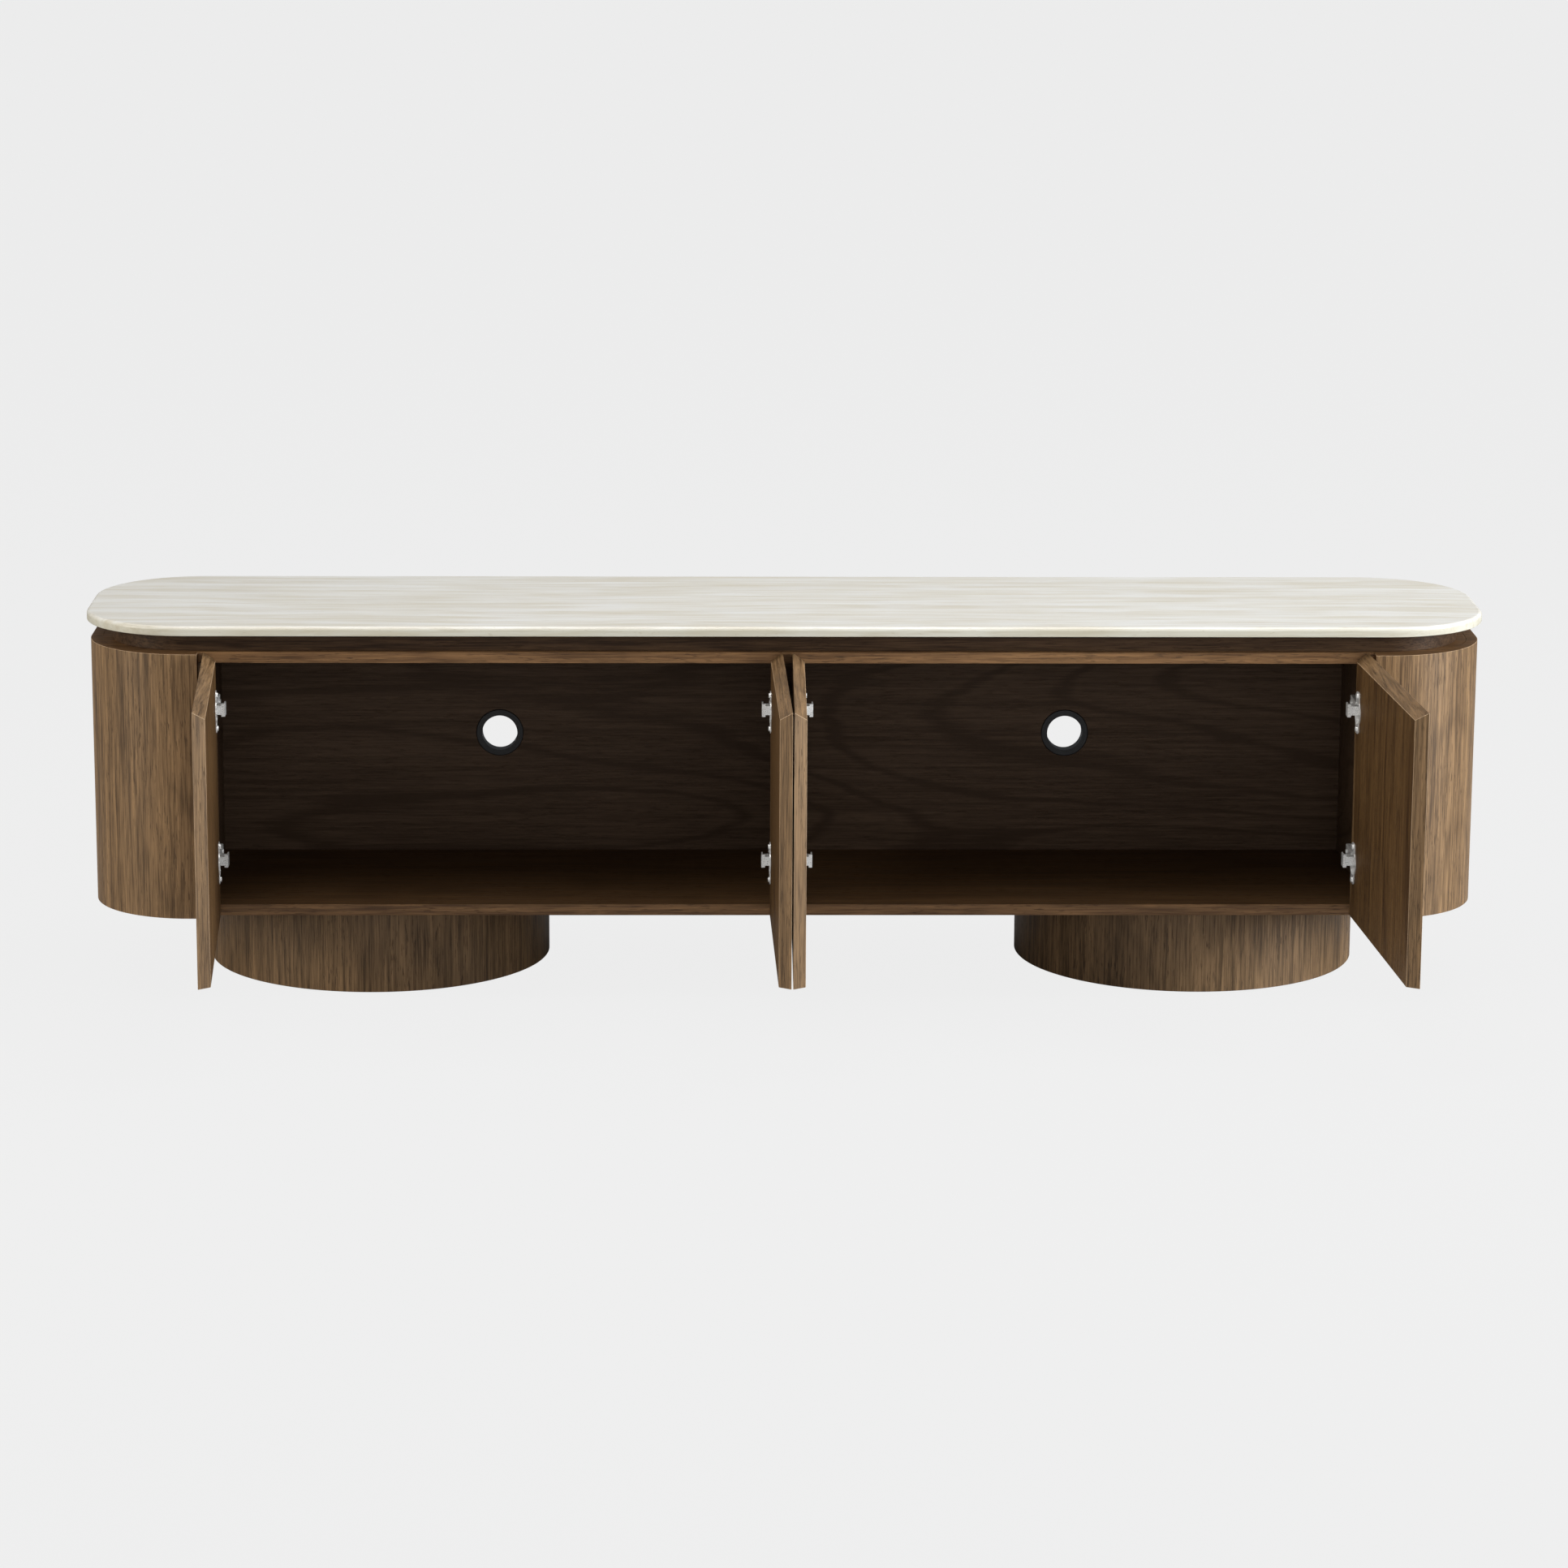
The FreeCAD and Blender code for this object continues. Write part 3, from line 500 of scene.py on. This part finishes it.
slab = block("stone_slab", slab_low, slab_high)
bevel_edges(slab, upright_edge, SLAB_CORNER, CORNER_STEPS)
bevel_edges(slab, lambda e: min(v.co.z for v in e.verts) > slab_high.z - MATCH,
            SLAB_TOP_ROUND, 6)
bevel_edges(slab, lambda e: max(v.co.z for v in e.verts) < slab_low.z + MATCH,
            SLAB_UNDER_BEVEL, 1)
give(slab, travertine)
smooth(slab)
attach(slab, "cabinet")
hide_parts("stone_top")

# %% [markdown]
# ## Bent end shells
# Each end is a sheet of thin plies bent round a former. We make it the same way: shape the
# outside as a rounded block, throw away every face but the curved band, and thicken the band
# inwards. Its outer edges carry a fine pale line, where the veneer ends.

# %% End shells
TOP_FACET = 2e-5        # square metres: smaller faces keep the pale veneer line
for side in ("left", "right"):
    low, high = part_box(side + "_end_shell")
    out = 1 if side == "right" else -1
    shell = block(side + "_bent_end", low, high)
    outer_x = high.x if out > 0 else low.x
    cut_x = low.x if out > 0 else high.x
    bevel_edges(shell, lambda e: upright_edge(e) and abs(e.verts[0].co.x - outer_x) < MATCH,
                CASE_CORNER, CORNER_STEPS)
    select_where(shell, "FACE", lambda f: abs(f.normal.z) > 0.9
                 or abs(f.calc_center_median().x - cut_x) < MATCH)
    bpy.ops.mesh.delete(type="FACE")
    leave_edit()
    apply_modifier(shell, "SOLIDIFY", thickness=WALL, offset=-1, use_even_offset=True)
    give(shell, walnut_up, walnut_along, walnut_rim)
    ease_edges(shell, VENEER_LINE, slot=2)
    smooth(shell)
    paint_faces(shell, 1, lambda f: f.normal.z > 0.99 and f.area > TOP_FACET)
    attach(shell, "cabinet")
    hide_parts(side + "_end_shell")


# %% [markdown]
# ## Top, bottom and riser
# These boards follow the inside of the shells. The top and bottom panels are cut straight at the
# front, a door's thickness behind the shells, so the closed doors lie flush with them.

# %% Boards with round ends
OPENING_FRONT = 0.0205          # a door and its gap behind the shells' front
OPENING_REAR = 0.372
OPENING_HALF = shell_low.x      # the opening ends where the shells begin
RISER_EASE = 0.0008
BROAD_FACE = 1e-3               # square metres: leaves out the small level facets


def round_board(name, low, high, corner):
    board = block(name, low, high)
    bevel_edges(board, upright_edge, corner, CORNER_STEPS)
    return board


for node in ("top_panel", "bottom_panel"):
    low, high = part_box(node)
    panel = round_board(node.replace("panel", "board"), low, high, CASE_CORNER - WALL)
    for near, far in ((shell_low.y, OPENING_FRONT), (OPENING_REAR, shell_high.y)):
        drill(panel, block("notch", (-OPENING_HALF, near, low.z - WALL),
                           (OPENING_HALF, far, high.z + WALL)))
    inward = -1 if node == "top_panel" else 1
    # The top board's underside and the bottom board's upper face are the compartments' ceiling
    # and floor; their darker finishes are painted shade.
    give(panel, walnut_along, walnut_interior_shade if node == "top_panel" else walnut_floor_shade)
    ease_edges(panel, VENEER_LINE)
    smooth(panel)
    paint_faces(panel, 1, lambda f: f.normal.z * inward > 0.9 and f.area > BROAD_FACE)
    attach(panel, "cabinet")
    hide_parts(node)

low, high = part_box("top_riser")
riser_corner = (high.y - low.y) / 2 - (mid_y - CASE_CORNER)
riser = round_board("riser_board", low, high, riser_corner)
give(riser, walnut_riser)
ease_edges(riser, RISER_EASE, segments=2)
smooth(riser)
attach(riser, "cabinet")
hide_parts("top_riser")


# %% [markdown]
# ## Doors
# A door is drawn closed, because its bevels are square to the cabinet there, and then swung to
# where it stands open. The joint in the frame says where the pin is and how far the door is from
# closed. The finger bevels are straight cuts through the leaf, which meet in a mitre at the upper
# corner.

# %% Where a door lies when closed
BEVEL_STRIP = 0.004
BEVEL_RUN = 0.012
HINGE_EDGE_BEVEL = 0.005
CUP_RADIUS = 0.0175
CUP_STEPS = 64
CUP_SKIN = 0.003        # wood left in front of a cup
FLANGE_HALF = 0.030     # from a cup's middle to its flange's end
NARROW_FACE = 1e-4      # square metres: smaller faces keep the finish they have
# The broad inner face of each door gets the darker walnut: painted shade.
INNER_SHADE_FACE = 1e-2      # square metres: only the broad inner face is larger


def to_closed(body):
    """The turn about the pin that shuts this door."""
    joint = joints[body]
    pin = Vector(joint["pos_m"])
    turn = Matrix.Rotation(math.radians(joint["range_deg"][0]), 4, Vector(joint["axis"]))
    return Matrix.Translation(pin) @ turn @ Matrix.Translation(-pin)


def closed_box(node, shut):
    """A door node's corners once the door is shut."""
    points = [shut @ v.co for v in frame["nodes"][node].data.vertices]
    return (Vector([min(p[i] for p in points) for i in range(3)]),
            Vector([max(p[i] for p in points) for i in range(3)]))


for body, joint in joints.items():
    print(body, "stands", round(-joint["range_deg"][0], 1), "degrees from closed")

# %% [markdown]
# The leaf starts as a closed board. Two cuts make the finger bevels, a third eases the hinge edge
# so that it clears the cabinet as it turns, and a round drill sinks the hinge cups. Then it
# swings open.

# %% Door leaves
for body in joints:
    shut = to_closed(body)
    low, high = closed_box(body + "_leaf", shut)
    pin_x = joints[body]["pos_m"][0]
    run = 1 if abs(pin_x - low.x) < abs(pin_x - high.x) else -1
    hinge_x, free_x = (low.x, high.x) if run > 0 else (high.x, low.x)
    thick = high.y - low.y
    leaf = block(body + "_veneered_leaf", low, high)
    slice_off(leaf, (0, low.y + BEVEL_STRIP, high.z), (0, BEVEL_RUN, thick - BEVEL_STRIP))
    slice_off(leaf, (free_x, low.y + BEVEL_STRIP, 0), (run * (thick - BEVEL_STRIP), BEVEL_RUN, 0))
    slice_off(leaf, (hinge_x, high.y - HINGE_EDGE_BEVEL, 0), (-run, 1, 0))
    give(leaf, walnut_up, walnut_deep, walnut_rim, walnut_door_inner_shade)
    ease_edges(leaf, VENEER_LINE, slot=2)
    cup_low, cup_high = closed_box(body + "_hinge_cups", shut)
    cup_x = (cup_low.x + cup_high.x) / 2
    for cup_z in (cup_low.z + FLANGE_HALF, cup_high.z - FLANGE_HALF):
        bpy.ops.object.select_all(action="DESELECT")
        bpy.ops.mesh.primitive_cylinder_add(vertices=CUP_STEPS, radius=CUP_RADIUS, depth=thick,
                                            location=(cup_x, low.y + CUP_SKIN + thick / 2, cup_z),
                                            rotation=(math.pi / 2, 0, 0))
        drill(leaf, bpy.context.object)
    paint_faces(leaf, 1, lambda f: f.normal.z > 0.5 and f.area > NARROW_FACE)
    # Paint the broad inner face with the darker walnut: painted shade.
    paint_faces(leaf, 3, lambda f: f.normal.y > 0.99 and f.area > INNER_SHADE_FACE)
    leaf.data.transform(shut.inverted())
    smooth(leaf)
    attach(leaf, body)
    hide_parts(body + "_leaf")

# %% [markdown]
# ## Plinths
# Each plinth is a drum whose back is cut flat. Like the end shells, the front is a bent sheet:
# the side wall of a cylinder, cut at the back and thickened inwards.

# %% Plinth fronts
DRUM_STEPS = 192
for side in ("left", "right"):
    low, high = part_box(side + "_plinth_front")
    radius = (high.x - low.x) / 2
    bpy.ops.object.select_all(action="DESELECT")
    bpy.ops.mesh.primitive_cylinder_add(vertices=DRUM_STEPS, radius=radius, depth=high.z - low.z,
                                        end_fill_type="NOTHING",
                                        location=((low.x + high.x) / 2, low.y + radius,
                                                  (low.z + high.z) / 2))
    drum = bpy.context.object
    drum.name = side + "_drum_front"
    bpy.ops.object.transform_apply(location=True, rotation=True, scale=True)
    choose(drum)
    bpy.ops.object.mode_set(mode="EDIT")
    bpy.ops.mesh.select_all(action="SELECT")
    bpy.ops.mesh.bisect(plane_co=(0, high.y, 0), plane_no=(0, 1, 0), clear_outer=True)
    leave_edit()
    apply_modifier(drum, "SOLIDIFY", thickness=WALL, offset=-1, use_even_offset=True)
    slice_off(drum, (0, high.y, 0), (0, 1, 0))
    give(drum, walnut_drum, walnut_rim)
    ease_edges(drum, VENEER_LINE)
    smooth(drum)
    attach(drum, "cabinet")
    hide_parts(side + "_plinth_front")

# %% [markdown]
# ## The pieces that the frame already has right
# Flat boards, hinge hardware and screws are exact in the frame, so they only need their finish.

# %% Finishes for the frame's own nodes
FINISHES = (
    ("hinge", nickel), ("mounting_plates", nickel), ("cup_screws", nickel), ("screws", zinc),
    ("grommet", black_plastic), ("glides", nylon), ("pads", silicone),
    # The back panel, uprights, partitions and ribs inside the compartments get the darker inside
    # finish: painted shade.
    ("back_panel", walnut_interior_shade), ("upright", walnut_interior_shade), ("partition", walnut_interior_shade),
    ("rib", walnut_interior_shade), ("plinth", walnut_drum),
)
finished = 0
for name, node in frame["nodes"].items():
    for word, finish in FINISHES:
        if word in name:
            give(node, finish)
            finished += 1
            break
print(finished, "of", len(frame["nodes"]), "nodes have a finish of their own")

# %% [markdown]
# ## Floor and light
# The floor is plain and pale, as a catalogue page is. It glows a little for the camera, so the
# page stays even, and its own grey still takes a soft shadow.

# %% Floor
PAGE = (0.878, 0.878, 0.878, 1)
FLOOR_GREY = (0.45, 0.45, 0.45, 1)
FLOOR_SIZE = 120
GLOW_SHARE = 0.95               # how much of the floor the camera sees as plain page
bpy.ops.object.select_all(action="DESELECT")
bpy.ops.mesh.primitive_plane_add(size=FLOOR_SIZE)
floor = bpy.context.object
floor.name = "studio_floor"
pale, tree, shader = new_material("studio_floor")
shader.inputs["Base Color"].default_value = FLOOR_GREY
shader.inputs["Roughness"].default_value = 0.9
glow = wire(tree, "ShaderNodeEmission", {"Color": PAGE})
seen = wire(tree, "ShaderNodeLightPath")
share = maths(tree, "MULTIPLY", seen.outputs["Is Camera Ray"], GLOW_SHARE)
mixed = wire(tree, "ShaderNodeMixShader", {0: share, 1: shader.outputs[0], 2: glow.outputs[0]})
tree.links.new(mixed.outputs[0], tree.nodes["Material Output"].inputs["Surface"])
give(floor, pale)
print("floor", FLOOR_SIZE, "metres wide")

# %% [markdown]
# Two tall soft boxes stand at the sides. The right one is stronger and a little cooler, which
# models the round ends. A broad box hangs over the top for the stone, and a weak low one fills
# the fronts. Little light gets deep inside, and the inside finishes carry painted shade, so the
# open compartments stay dark. The sky lights faintly, and the camera sees it as the same pale
# page as the floor.

# %% Lights
SKY_COLOUR = (0.9, 0.95, 1.0, 1)
SKY_STRENGTH = 0.22
LOOK_AT = Vector((0, mid_y, 0.35))

world = bpy.data.worlds.new("studio")
bpy.context.scene.world = world
world.use_nodes = True
tree = world.node_tree
sky = tree.nodes["Background"]
sky.inputs["Color"].default_value = SKY_COLOUR
sky.inputs["Strength"].default_value = SKY_STRENGTH
page = wire(tree, "ShaderNodeBackground", {"Color": PAGE})
seen = wire(tree, "ShaderNodeLightPath")
mixed = wire(tree, "ShaderNodeMixShader", {0: seen.outputs["Is Camera Ray"], 1: sky.outputs[0],
                                           2: page.outputs[0]})
tree.links.new(mixed.outputs[0], tree.nodes["World Output"].inputs["Surface"])
bpy.context.scene.view_settings.view_transform = "Standard"


def soft_box(name, place, width, height, power, colour=(1, 1, 1)):
    lamp = bpy.data.lights.new(name, "AREA")
    lamp.shape = "RECTANGLE"
    lamp.size = width
    lamp.size_y = height
    lamp.energy = power
    lamp.color = colour
    holder = bpy.data.objects.new(name, lamp)
    bpy.context.scene.collection.objects.link(holder)
    holder.location = place
    holder.rotation_euler = (LOOK_AT - Vector(place)).to_track_quat("-Z", "Y").to_euler()


soft_box("right_soft_box", (4.4, -1.6, 1.5), 1.6, 2.0, 285, (0.93, 0.97, 1.0))
soft_box("left_soft_box", (-4.4, -1.7, 1.5), 1.6, 2.0, 112, (1.0, 0.97, 0.90))
soft_box("top_soft_box", (0.2, -0.2, 3.2), 4.4, 1.4, 80)
soft_box("front_fill", (0.2, -6.5, 1.9), 3.0, 1.5, 46)
print("lights placed")
